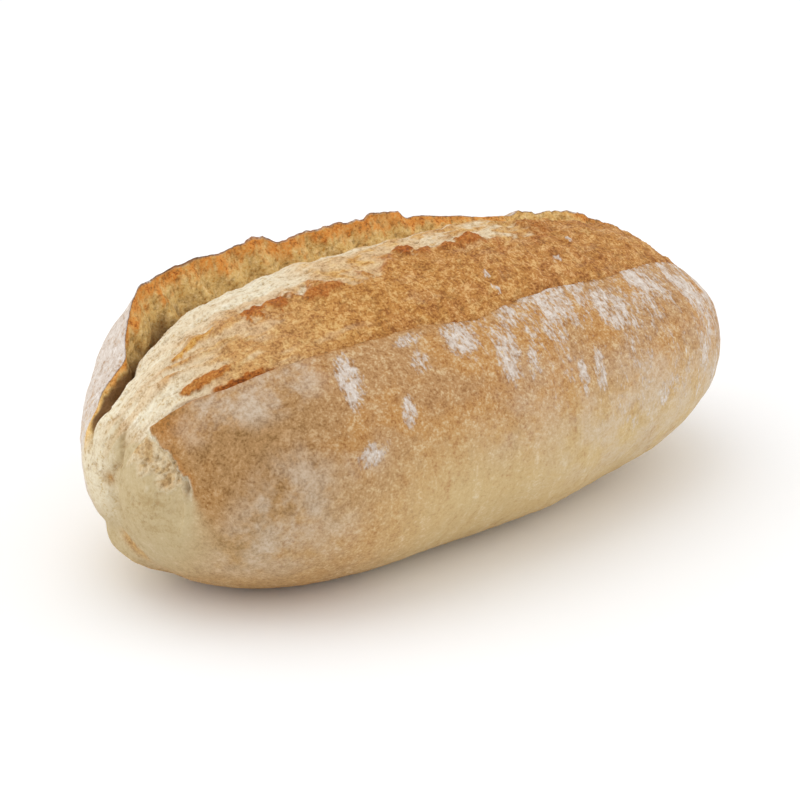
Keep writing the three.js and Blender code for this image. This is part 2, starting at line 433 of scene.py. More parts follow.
def tear_hollow(station, across, up):
    """Torn recess in front of the near flap, just before the pale end swells out."""
    low = bell(up, 57, 14) * fade(up, 62, 72)
    return TEAR_RECESS * window(-station, 0.944, 0.952, 0.958, 0.99) * ramp(-across, 10, 20) * low


def flank_swell(along, across, up):
    """Slow swellings of the flanks, so that the crust is not a perfect oval."""
    shift = np.where(across < 0, 0, 2.4)
    long_wave = np.sin(along * 0.052 + up * 0.02 + shift)
    short_wave = np.sin(along * 0.107 - up * 0.045 + 1.7 - shift)
    tuck = np.where(across < 0, 4.2 * bell(along, 54, 18) + 1.8 * bell(along, -14, 34), 0)
    return (0.9 * long_wave + 0.6 * short_wave) * bell(up, 36, 34) - tuck * bell(up, 18, 16)


def rested(up):
    """Height over the table, with what would hang below it pressed flat."""
    blended = (up + FLOOR_BLEND) ** 2 / (4 * FLOOR_BLEND)
    return np.where(up < -FLOOR_BLEND, 0, np.where(up > FLOOR_BLEND, up, blended))


def lifted(angle, edge, reach):
    """Share of a torn edge's lift that is left at an angle, 1 at the edge and 0 from reach degrees on."""
    return np.clip(1 - np.abs(angle - edge) / (reach * DEGREE), 0, 1) ** 2


def station_row(shape):
    """Stations of the rings, evenly spaced over the curve of the flank, and closer at the near end."""
    fine = np.sin(np.linspace(-math.pi / 2, math.pi / 2, 8001))
    flank = shape["width"] / 2 * hump(fine, PLAN_POWER, END_ROUND)
    steps = np.hypot(np.diff(fine) * shape["length"] / 2, np.diff(flank))
    steps = steps * np.where(fine[1:] < -0.85, NEAR_END_DENSITY, 1)
    run = running_sum(steps)
    places = np.linspace(0, run[-1], RINGS + 1)[1:-1]
    return np.interp(places, run, fine)[:, None]


def running_sum(steps):
    """Distance run at the start and after each step."""
    return np.concatenate(((0,), np.cumsum(steps)))


def loaf_surface(shape):
    """The loaf as rows of points, with the strip that each column belongs to and what is known of it."""
    half_length = shape["length"] / 2
    station = station_row(shape)
    flap = flap_angle(shape, station)
    ear = ear_angle(station)
    lift = ear_lift(shape, station)
    flapped = window(station, FLAP_START - 0.014, FLAP_START + 0.004, 0.82, 0.97)
    calm = ramp(station, -0.75, -0.1)

    near_share = 1 - (1 - np.arange(NEAR_STEPS + 1) / NEAR_STEPS) ** NEAR_CROWDING
    near_angle = -math.pi + (flap + math.pi) * near_share
    curl = shape["flap_lift"] * flapped * (1 - 0.7 * calm) * lifted(near_angle, flap, FLAP_CURL_ANGLE)
    near = crust_point(shape, station, near_angle) + stacked(-FLAP_LEAN * curl, curl)
    drop = FLAP_STEP * flapped * (1 - 0.45 * calm) * np.arange(1, LIP_STEPS + 1) / LIP_STEPS
    lip = near[:, -1:] + stacked(FLAP_LEAN * drop, -drop)

    low = crust_point(shape, station, ear - slit_gap(station) * DEGREE)
    low = low - stacked(0, crevice_depth(shape, station))
    share = np.arange(1, BLOOM_STEPS + 1) / BLOOM_STEPS
    burst, span = bloom_section(shape, station, share, lip[:, -1:], low)

    far_share = (np.arange(FAR_STEPS) / FAR_STEPS) ** FAR_CROWDING
    far_angle = ear + (math.pi - ear) * far_share
    raised = lift * lifted(far_angle, ear, EAR_FALL_ANGLE)
    shoulder = bell(far_angle - ear, SHOULDER_ANGLE * DEGREE, SHOULDER_WIDTH * DEGREE)
    shoulder = SHOULDER_SWELL * bell(station, -0.74, 0.12) * shoulder
    far = crust_point(shape, station, far_angle) + stacked(EAR_LEAN * raised + shoulder, raised + shoulder)

    climb = np.arange(1, WALL_STEPS) / WALL_STEPS
    rough = 0.12 * lift * np.sin(math.pi * climb) * np.sin(station * 55 + climb * 4)
    wall = low + (far[:, :1] - low) * climb[:, None] + stacked(rough, 0)

    strips = (near, lip, burst, wall, far)
    across, up = np.moveaxis(np.concatenate(strips, axis=1), -1, 0)
    along = station * half_length
    swell = flank_swell(along, across, up) * (1 - np.abs(station) ** 4)
    across = across * (1 + 2 / shape["width"] * swell)

    zone = np.repeat(np.arange(len(strips)), [strip.shape[1] for strip in strips])
    bloom_share = np.zeros(len(zone))
    bloom_share[zone == BLOOM] = share
    wall_climb = np.zeros(len(zone))
    wall_climb[zone == WALL] = climb
    slit = ramp(bloom_share, 0.84, 1)
    slit[zone == WALL] = (1 - climb) ** 2
    slit_depth = SLIT_DEPTH * slit * window(-station, 0.84, 0.97, 0.974, 0.994)

    swollen = ramp(-station, 0.86, 0.99) * end_swell(shape, across, up) + foot_swell(station, across, up)
    pushed = along - swollen + tear_hollow(station, across, up) + slit_depth
    points = np.stack((pushed, across, rested(up)), axis=-1)
    whole_station, whole_share, whole_climb = np.broadcast_arrays(station, bloom_share, wall_climb)
    return {
        "points": points,
        "station": whole_station,
        "zone": zone,
        "share": whole_share,
        "climb": whole_climb,
        "down": edge_distance(points, zone),
        "span": span,
        "lift": lift,
        "half_length": half_length,
    }


def edge_distance(points, zone):
    """How far the crust's points lie from the flap's edge or the ear's, round the section."""
    steps = np.linalg.norm(np.diff(points, axis=1), axis=-1)
    distance = np.zeros(points.shape[:2])
    distance[:, :NEAR_STEPS] = np.cumsum(steps[:, NEAR_STEPS - 1 :: -1], axis=1)[:, ::-1]
    ear = int(np.argmax(zone == FAR))
    distance[:, ear + 1 :] = np.cumsum(steps[:, ear:], axis=1)
    return distance


def surface_normals(points):
    """Outward normals of rows of points that close round each row."""
    along = np.gradient(points, axis=0)
    round_row = np.roll(points, -1, axis=1) - np.roll(points, 1, axis=1)
    normal = np.cross(along, round_row)
    length = np.linalg.norm(normal, axis=-1, keepdims=True)
    return normal / most(length, 1e-9)


# Fine relief and masks, strip by strip


def strip_of(surface, number):
    """One strip of the surface, such as the bloom, with what is known of its points."""
    columns = surface["zone"] == number
    strip = {name: surface[name][:, columns] for name in ("points", "station", "share", "climb", "down")}
    strip.update({name: surface[name] for name in ("span", "lift", "half_length")})
    return strip


def patch_cover(along, down, patches):
    """How much of each point lies in the nearest of some soft oval patches."""
    cover = np.zeros(along.shape)
    for middle, below, half_width, half_length, strength in patches:
        leaning = along - middle + FLOUR_LEAN * (down - below)
        reach = np.hypot(leaning / half_width, (down - below) / half_length)
        cover = most(cover, strength * ramp(1.5 - reach, 0, 1))
    return cover


def far_patches():
    """Stray patches of flour for the far flank."""
    random = np.random.default_rng(97)
    for _ in range(FAR_PATCH_COUNT):
        middle = random.uniform(-118, 118)
        below = 4 + 74 * random.random() ** 1.6
        yield middle, below, random.uniform(3, 10), random.uniform(5, 16), random.uniform(0.7, 1)


def crust_relief(points):
    """Low bumps of plain crust."""
    return 0.45 * noise(points / 16, 31) + 0.16 * noise(points / 4, 35)


def near_crust(strip):
    """The near flap and flank: flour below the flap, and the torn front edge before the pale end."""
    points = strip["points"]
    station = strip["station"]
    down = strip["down"]
    along = points[..., 0]

    ragged = 0.006 * noise(stacked(down / 6, 0.2, 0.6), 81)
    torn_at = -0.952 + 0.019 * ramp(down, 0, 34) + ragged
    past = (torn_at - station) * TEAR_PACE
    sharp = fade(down, 25, 34)
    soft = 0.5 + 17 * ramp(down, 24, 70)
    bare = ramp(past + 0.5 * (soft - 0.5), -soft, soft)
    pores = ramp(0.46 - pore_distance(points / 1.9, 83) + 0.25 * soft_noise(points / 1.1, 84), 0, 0.35)
    frayed = 9 * fade(down, 10, 38) + 2.6 * noise(points / 6, 87, 2)
    torn = sharp * ramp(past, 0, 0.6) * fade(past - frayed, 0, 2.5)
    seam = ramp(down, 0, 5)
    bite = sharp * np.where(past > 0, np.exp(-most(past, 0) / 6), 0) * window(down, 0.5, 6, 18, 30)
    curl = sharp * np.where(past <= 0, np.exp(np.minimum(past, 0) / 3), 0)
    crags = noise(points / 3.4, 85)
    height = crust_relief(points) + curl - 1.6 * bite - seam * torn * (1.1 * pores - crags)
    height = np.where(station < FLAP_START, seam * height, height)

    combed = stacked((along + FLOUR_LEAN * down) / 7, down / 34, 0.7)
    combed = 0.6 + 0.6 * ramp(noise(combed, 91), -0.25, 0.25)
    veil = (0.4 * ramp(station, -0.35, 0) + 0.5 * ramp(station, 0, 0.25)) * bell(down, 5, 20)
    reach = 34 + 22 * ramp(station, -0.1, 0.4)
    thin = 0.3 * ramp(station, -0.08, 0.22) * fade(down - reach, 0, 25)
    thick = 0.95 * ramp(station, 0.66, 0.78) * fade(down, 45, 85)
    flour = most(patch_cover(along, down, FLOUR_PATCHES), combed * most(veil, thin, thick))
    broken = 0.35 + 0.65 * ramp(noise(stacked(along / 7, down / 7, 0.4), 89, 2), -0.3, 0.3)
    corner = bell(down, 0, 9) * ramp(-station, 0.87, 0.94)
    rind = most(broken * bell(down, 0, 0.8), sharp * bell(past, -0.8, 1.3), corner)
    # A dark gap low in the torn edge: painted shade, which also keeps the cream crumb out of it
    slot_shade = bell(past, 1.5, 1.3) * bell(down, 27, 3.6)
    return height, {
        "crumb": most(0.6 * torn, sharp * bell(past, 0.3, 0.7)) * (1 - slot_shade),
        # Ochre in the torn crumb, more in its low crags: partly the crumb's own colour, partly painted shade
        # in the torn recess
        "ochre": torn * ramp(past, 0.7, 2) * (0.3 + 0.5 * ramp(-crags, -0.1, 0.4)),
        "bare": bare,
        "flour": flour * (1 - bare),
        "haze": patch_cover(along, down, HAZE_PATCHES) * (1 - bare) * (1 - corner),
        "pale": ramp(down, 30, 72) * (0.3 + 0.7 * ramp(station, -0.6, -0.25)),
        "dark": ramp(-station, 0.46, 0.8) * (1 - 0.35 * ramp(down, 56, 120)),
        "rind": rind * (1 - bare) * ramp(-np.abs(station), -0.97, -0.93),
        # Painted shade in the torn crumb's pores and low crags
        "pit": torn * most(0.75 * pores, 0.5 * ramp(-crags, 0.1, 0.5)),
        "hollow": 0.6 * slot_shade,
    }


def flap_lip(strip):
    """The torn edge that drops from the flap to the bloom."""
    station = strip["station"]
    return np.zeros(station.shape), {
        "rind": window(station, -0.95, -0.93, 0.9, 0.97),
        "bare": ramp(-station, 0.94, 0.955),
    }


def flake_cover(along, place, width, half_length):
    """Relief and toasting of the torn flakes of skin, steep towards the pale crumb."""
    wobble = noise(stacked(along / 3, place / 3, 0.3), 47)
    height = np.zeros(along.shape)
    toast = np.zeros(along.shape)
    for station, share, length, breadth, rise, heat in FLAKES:
        beyond = place - share * width
        reach_across = np.where(beyond > 0, beyond / breadth, -beyond / (2.4 * breadth))
        reach = np.hypot((along - station * half_length) / length, reach_across) + 0.55 * wobble
        cover = ramp(1.25 - reach, 0, 0.5)
        height = most(height, rise * cover)
        toast = most(toast, heat * ramp(cover, 0, 0.6))
    return height, toast


def bloom(strip):
    """The torn crumb of the bloom: pale on top, brown skin towards the flap and the far end."""
    station = strip["station"]
    share = strip["share"]
    half_length = strip["half_length"]
    along = strip["points"][..., 0]
    width = strip["span"] * BLOOM_GIRTH
    place = share * width
    flat = stacked(along, place, 0.5)

    stray = 0.06 * noise(flat / (14, 9, 1), 43) * ramp(station, 0.15, 0.35)
    edge = (skin_share(station + stray) - share) * width
    edge = edge + 2.4 * noise(flat / (20, 10, 1), 41, 2) + 1.6 * noise(flat / (6, 4, 1), 45)
    frayed = edge + 3 * noise(flat / (2.6, 1.8, 1), 49)
    skin = ramp(frayed, -2.2, 1.8)
    torn = ramp(noise(flat / (20, 16, 1), 51, 2), 0.05, 0.4) * ramp(station, -0.7, -0.4)
    rim = bell(frayed, 0.6, 1.6) * torn
    flake, flake_toast = flake_cover(along, place, width, half_length)
    flake_grain = noise(flat / (9, 1.8, 1), 53)
    flake_toast = flake_toast * (0.88 + 0.12 * ramp(flake_grain, -0.35, 0.15))

    strand_noise = noise(flat / (26, 3.4, 1), 55)
    near_strands = bell(share, 0.24, 0.2) * window(station, -0.93, -0.84, -0.6, -0.3)
    far_strands = bell(share, 0.55, 0.19) * window(station, 0, 0.12, 0.5, 0.62)
    strand = ramp(strand_noise, 0, 0.3) * most(near_strands, far_strands)

    holes = ramp(0.26 - pore_distance(flat / (6.2, 4.6, 1), 61), 0, 0.16)
    pores = ramp(0.44 - pore_distance(flat / (2, 1.7, 1), 63), 0, 0.3)
    crumb = noise(flat / 2.4, 65)
    granule = noise(flat / (2.8, 2.2, 1), 67)
    lump = noise(flat / 6, 69, 2)
    ridge = noise(flat / (17, 4.5, 1), 59) * fade(station, -0.6, -0.35)
    height = CRAG_STEP * (ramp(edge, -1.5, 1.5) - 0.5) + 0.4 * rim + flake + 0.9 * strand + 0.5 * ridge
    height = height + (1 - skin) * (0.24 * crumb + 0.4 * lump - 0.2 * pores - 0.8 * holes)
    height = height + 0.5 * skin * (granule + lump)
    ends = window(station, -0.985, -0.9, 0.88, 0.98)
    mouth = ramp(share, 0.8, 0.97) * ramp(-station, 0.82, 0.9)
    height = height * ramp(share, 0, 0.05) * (0.4 + 0.6 * ends) * (1 - mouth)

    clod = np.zeros(share.shape)
    for clod_station, clod_share in CLODS:
        reach = np.hypot(along - clod_station * half_length, place - clod_share * width)
        clod = most(clod, ramp(2.5 + 1.2 * crumb - reach, 0, 1.2))
    height = height + 0.5 * clod

    baked = 0.5 * ramp(station, -0.8, -0.5) + 0.35 * ramp(station, -0.5, -0.3)
    baked = baked + 0.15 * ramp(station, -0.3, 0.05)
    blotch = ramp(noise(flat / (9, 5, 1), 57), -0.05, 0.45)
    fringe = 0.8 * bell(edge, -1, 6) * blotch * ramp(station, -0.92, -0.7)
    fringe = most(fringe, (0.3 + 0.6 * blotch) * ramp(station, -0.5, 0.1))
    streaky = 0.6 + 0.4 * ramp(strand_noise + 0.5 * ramp(station, -0.7, -0.4), -0.3, 0.2)
    golden = skin * streaky * ramp(station, -0.93, -0.72) * (0.86 + 0.14 * ramp(station, -0.6, -0.3))
    pale_end = ramp(-station + 0.02 * lump, 0.95, 0.985)
    singed = 0.4 * bell(edge, 3.5, 4) * window(station, -0.2, 0, 0.45, 0.7) * blotch
    toast = most(0.55 * rim, flake_toast, 0.2 * strand, singed)
    near_yellow = 0.4 * bell(share, 0.35, 0.25) * fade(station, -0.75, -0.5)
    yellow = most(0.9 * far_strands, near_yellow) * ramp(strand_noise, -0.5, 0.15)
    middle = window(station, -0.48, -0.28, -0.02, 0.1) * fade(share + 0.05 * lump, 0.52, 0.68)
    middle = middle * (0.6 + 0.35 * blotch)
    # Painted shade in the open pores and between the skin's granules, and at the bottom of the crevice beside
    # the ear
    open_pores = most(0.8 * pores, holes) * (1 - skin)
    deep = ramp(share, 0.95, 1) * ramp(-station, -0.75, 0.1) * fade(-station, 0.965, 0.985)
    return height, {
        "crumb": (1 - pale_end) * fade(station, 0.955, 0.985),
        "bare": pale_end,
        "ochre": most(yellow, middle, ramp(flake, 0, 0.45), 0.9 * strand, fringe, golden),
        "brown": skin * baked * (0.75 + 0.25 * blotch),
        "toast": toast * (1 - pale_end),
        "pit": most(open_pores, 0.5 * skin * ramp(-granule, 0.1, 0.5)),
        "hollow": 0.8 * deep,
        "flour": most(1.05 * clod, 0.1 * skin * bell(station, 0.25, 0.35)),
    }


def ear_wall(strip):
    """The torn inside of the ear: ochre crumb painted lighter for the light that falls into it, painted shade
    below, toasted along its edge.
    """
    station = strip["station"]
    climb = strip["climb"]
    steep = strip["points"][..., [0, 2, 1]]
    pores = ramp(0.46 - pore_distance(steep / (2.3, 3, 2.3), 71), 0, 0.3)
    rough = noise(steep / (4.5, 7, 4.5), 73)
    fibre = noise(steep / (1.7, 9, 1.7), 75, 2)
    tall = ramp(strip["lift"], 1, 8)
    height = (0.8 * rough + 0.3 * fibre - 0.7 * pores) * np.sin(math.pi * climb) ** 0.5 * (0.3 + 0.7 * tall)

    pale_end = ramp(-station, 0.965, 0.985)
    narrow = window(-station, 0.78, 0.88, 0.955, 0.98)
    toast = ramp(climb + 0.16 * rough + 0.2 * fibre, 0.64, 0.9) * (0.45 + 0.55 * most(tall, narrow))
    spared = window(station, 0.44, 0.52, 0.68, 0.76)
    toast = toast * (1 - 0.75 * ramp(-station, 0.86, 0.92)) * (1 - 0.85 * spared)
    # Painted shade on the lower wall, deepest where the slit narrows, and in its pores and low spots
    shade = 0.58 * narrow + 0.16 * bell(station, -0.58, 0.17) + 0.14 * bell(station, -0.73, 0.08)
    hollow = fade(climb + 0.12 * rough, 0.05 + shade, 0.36 + 0.9 * shade)
    return height, {
        "crumb": (1 - pale_end) * fade(station, 0.955, 0.985),
        "bare": pale_end,
        # Marks the wall, whose crumb is painted lighter than the ochre crumb: painted light inside the ear
        "wall": 1 - pale_end,
        "brown": 0.5 * ramp(station, 0.7, 0.8),
        "toast": toast * (1 - pale_end),
        "pit": most(pores, 0.6 * ramp(-rough, 0.2, 0.6)),
        "hollow": (0.75 + 0.2 * narrow) * hollow * ramp(-station, -0.75, 0.1) * (1 - pale_end),
    }


def far_crust(strip):
    """The far flap and flank, whiter with flour than the near one."""
    points = strip["points"]
    station = strip["station"]
    down = strip["down"]
    bare = ramp(-station - 0.955 + 0.05 * ramp(down, 18, 50), 0, 0.035)
    near_end = 1.2 * ramp(-station, 0.5, 0.75) * fade(down, 30, 60)
    flour = most(patch_cover(points[..., 0], down, far_patches()), 0.5 * bell(down, 0, 26), near_end)
    return crust_relief(points), {
        "bare": bare,
        "flour": flour * (1 - bare),
        "haze": (1 - bare) * bell(down, 20, 40),
        "pale": ramp(down, 30, 72),
        "toast": 0.8 * bell(down, 0, 1) * ramp(-np.abs(station), -0.96, -0.92),
        # A thin dark line along the ear's top edge, painted in the crevice shade
        "hollow": 0.6 * bell(down, 0, 1) * window(-station, 0.3, 0.5, 0.92, 0.96),
    }


def end_marks(points, station):
    """The pale end's dimple, crease, fold, specks and foot: how far they sink, the dimple, and their masks,
    with painted shade in the dimple, the pits and along the foot, and painted light on the left lobe.
    """
    across = points[..., 1]
    up = points[..., 2]
    dimple_across, dimple_up, radius, depth = DIMPLE
    reach = np.hypot(across - dimple_across, (up - dimple_up) * 0.75)
    dimple = np.where(station < -0.9, bell(reach, 0, radius), 0)
    crease = 3.75 - 0.3 * np.clip(up - 44, 0, 14.5) - 0.52 * most(44 - up, 0)
    stray = across - crease + 2.2 * noise(points / 7, 93)
    open_end = ramp(-station, 0.945, 0.965)
    groove = bell(stray, 0, 1.3) * window(up, 50, 58, 66, 82) * open_end
    fold = bell(stray, 0, 2.2) * window(up, 20, 32, 38, 52) * open_end
    speck = ramp(0.42 - pore_distance(points / 2.6, 95), 0, 0.25)
    grit = ramp(-station, 0.94, 0.97) * ramp(up, 26, 44) * ramp(noise(points / 9, 97, 2), -0.2, 0.35)
    sunk = depth * dimple + 1.5 * groove + 0.9 * fold + 0.45 * grit * speck

    reach = foot_reach(across, up)
    # The foot's rim on its right side gets a brown painted shadow
    rim = window(reach, 0.68, 1, 1.06, 1.18) * ramp(-station, 0.88, 0.95) * ramp(-across, -8, -1)
    # Painted shade low on the pale end
    below = 0.1 * ramp(-station, 0.9, 0.96) * fade(up, 20, 50) * ramp(reach, 0.8, 1.1)
    # The left lobe is painted lighter with crumb: painted light
    lobe = ramp(across, -1, 8) * ramp(up, 24, 44) * ramp(-station, 0.93, 0.97)
    # The dimple is painted a soft brown, painted shade in place of a deeper dimple; the groove, grit and fold
    # are darkened as painted shade
    return sunk, dimple, {
        "crumb": most(0.75 * dimple, 0.6 * rim, 0.7 * lobe),
        "ochre": most(dimple, rim),
        "hollow": most(0.28 * dimple, 0.16 * rim, below),
        "pit": most(groove * (0.35 + 0.65 * speck), 0.55 * grit * speck, 0.25 * fold),
    }


STRIPS = (near_crust, flap_lip, bloom, ear_wall, far_crust)
MASKS = "crumb bare flour haze pale dark ochre wall brown toast hollow pit rind".split()


def dress(surface):
    """The surface with its fine relief, and masks for colouring, one value a point."""
    points = surface["points"]
    station = surface["station"]
    heights = []
    masks = {name: [] for name in MASKS}
    for number, finish in enumerate(STRIPS):
        height, painted = finish(strip_of(surface, number))
        heights.append(height)
        for name in MASKS:
            masks[name].append(painted.get(name, np.zeros(height.shape)))
    masks = {name: np.concatenate(parts, axis=1) for name, parts in masks.items()}
    sunk, dimple, marks = end_marks(points, station)
    masks["pit"] = masks["pit"] * (1 - dimple)
    for name, mark in marks.items():
        masks[name] = most(masks[name], mark)

    height = np.concatenate(heights, axis=1) * fade(np.abs(station), 0.9985, 0.99995)
    height = np.where(points[..., 2] < 0.2, 0, height - sunk)
    dressed = points + surface_normals(points) * height[..., None]
    dressed[..., 2] = most(dressed[..., 2], 0)
    return dressed, masks


# Mesh, materials and helpers


def baking_map(dressed):
    """Places on a flat map for the corners of the quads, then of the near and the far end's triangles."""
    rows, columns = dressed.shape[:2]
    middle = dressed[rows // 2]
    girth = running_sum(np.linalg.norm(np.roll(middle, -1, axis=0) - middle, axis=-1))
    spine = running_sum(np.linalg.norm(np.diff(dressed.mean(axis=1), axis=0), axis=-1))
    round_place = girth / girth[-1]
    along_place = MAP_MARGIN + (1 - 2 * MAP_MARGIN) * spine / spine[-1]
    row, column = np.mgrid[: rows - 1, :columns][..., None]
    quads = np.stack((along_place[row + (0, 1, 1, 0)], round_place[column + (0, 0, 1, 1)]), axis=-1)
    low = round_place[:-1]
    high = round_place[1:]
    near_fan = stacked((0, MAP_MARGIN, MAP_MARGIN), np.stack(((low + high) / 2, low, high), axis=-1))
    far_fan = stacked((1, 1 - MAP_MARGIN, 1 - MAP_MARGIN), np.stack(((low + high) / 2, high, low), axis=-1))
    return np.concatenate([part.ravel() for part in (quads, near_fan, far_fan)])


def loaf_mesh(name, dressed, masks):
    """A closed mesh of the rows of points, with its masks and a map for baking."""
    rows, columns = dressed.shape[:2]
    grid = np.arange(rows * columns).reshape(rows, columns)
    after = np.roll(grid, -1, axis=1)
    quads = np.stack((grid[:-1], grid[1:], after[1:], after[:-1]), axis=-1).reshape(-1, 4)
    poles = np.stack((dressed[0].mean(axis=0), dressed[-1].mean(axis=0)))
    near_pole = rows * columns
    near_fan = stacked(near_pole, grid[0], after[0])
    far_fan = stacked(near_pole + 1, after[-1], grid[-1])
    vertices = np.concatenate((dressed.reshape(-1, 3), poles)) * MILLIMETRE
    mesh = bpy.data.meshes.new(name)
    mesh.from_pydata(vertices.tolist(), [], quads.tolist() + near_fan.tolist() + far_fan.tolist())

    for mask_name, values in masks.items():
        layer = mesh.attributes.new(mask_name, "FLOAT", "POINT")
        ends = (values[0].mean(), values[-1].mean())
        layer.data.foreach_set("value", np.concatenate((values.ravel(), ends)).astype(np.float32))

    layer = mesh.uv_layers.new(name="OFBake")
    layer.data.foreach_set("uv", baking_map(dressed).astype(np.float32))
    mesh.update()
    mesh.shade_smooth()
    return mesh


class Shading:
    """Adds nodes to one material's tree and joins them up. Colours may be given by name."""

    def __init__(self, material, colours):
        material.use_nodes = True
        self.tree = material.node_tree
        self.surface = self.tree.nodes["Principled BSDF"]
        self.colours = colours

    def give(self, node, values):
        """Sets a node's inputs to plain values or named colours, or links other sockets to them."""
        for name, value in values.items():
            socket = node.inputs[name]
            if isinstance(value, bpy.types.NodeSocket):
                self.tree.links.new(value, socket)
            else:
                socket.default_value = (*self.colours[value], 1) if isinstance(value, str) else value

    def node(self, kind, values, **options):
        """A new node with its inputs and its options."""
        made = self.tree.nodes.new("ShaderNode" + kind)
        for name, option in options.items():
            setattr(made, name, option)
        self.give(made, values)
        return made

    def mask(self, name):
        """A mask painted on the mesh."""
        return self.node("Attribute", {}, attribute_name=name).outputs["Fac"]

    def place(self, squeeze=1, tilt=0):
        """The loaf's own coordinates, squeezed across and up, and tilted round the Y axis."""
        source = self.node("TexCoord", {}).outputs["Object"]
        values = {"Vector": source, "Rotation": (0, tilt, 0), "Scale": (1, squeeze, squeeze)}
        return self.node("Mapping", values).outputs["Vector"]

    def noise(self, place, scale, detail=4, rough=0.6, twist=0):
        """Noise between 0 and 1."""
        values = {"Vector": place, "Scale": scale, "Detail": detail, "Roughness": rough, "Distortion": twist}
        return self.node("TexNoise", values).outputs["Fac"]

    def sums(self, operation, first, second):
        """A sum, product or other plain reckoning of two values."""
        return self.node("Math", {0: first, 1: second}, operation=operation).outputs[0]

    def times(self, first, second):
        """The product of two values."""
        return self.sums("MULTIPLY", first, second)

    def both(self, first, share, second, other_share):
        """A share of one value added to a share of another."""
        return self.sums("ADD", self.times(first, share), self.times(second, other_share))

    def ramp(self, value, low, high, start=0, end=1):
        """Smooth step of a value between two others."""
        values = {"Value": value, "From Min": low, "From Max": high, "To Min": start, "To Max": end}
        return self.node("MapRange", values, interpolation_type="SMOOTHSTEP").outputs["Result"]

    def blend(self, share, first, second):
        """Two colours mixed."""
        return self.node("Mix", {0: share, 6: first, 7: second}, data_type="RGBA").outputs[2]

    def tones(self, value, spread, dark, middle, light):
        """Three colours by a value that strays from a half to either side."""
        lower = self.blend(self.ramp(value, 0.5 - spread, 0.5), dark, middle)
        return self.blend(self.ramp(value, 0.5, 0.5 + spread), lower, light)


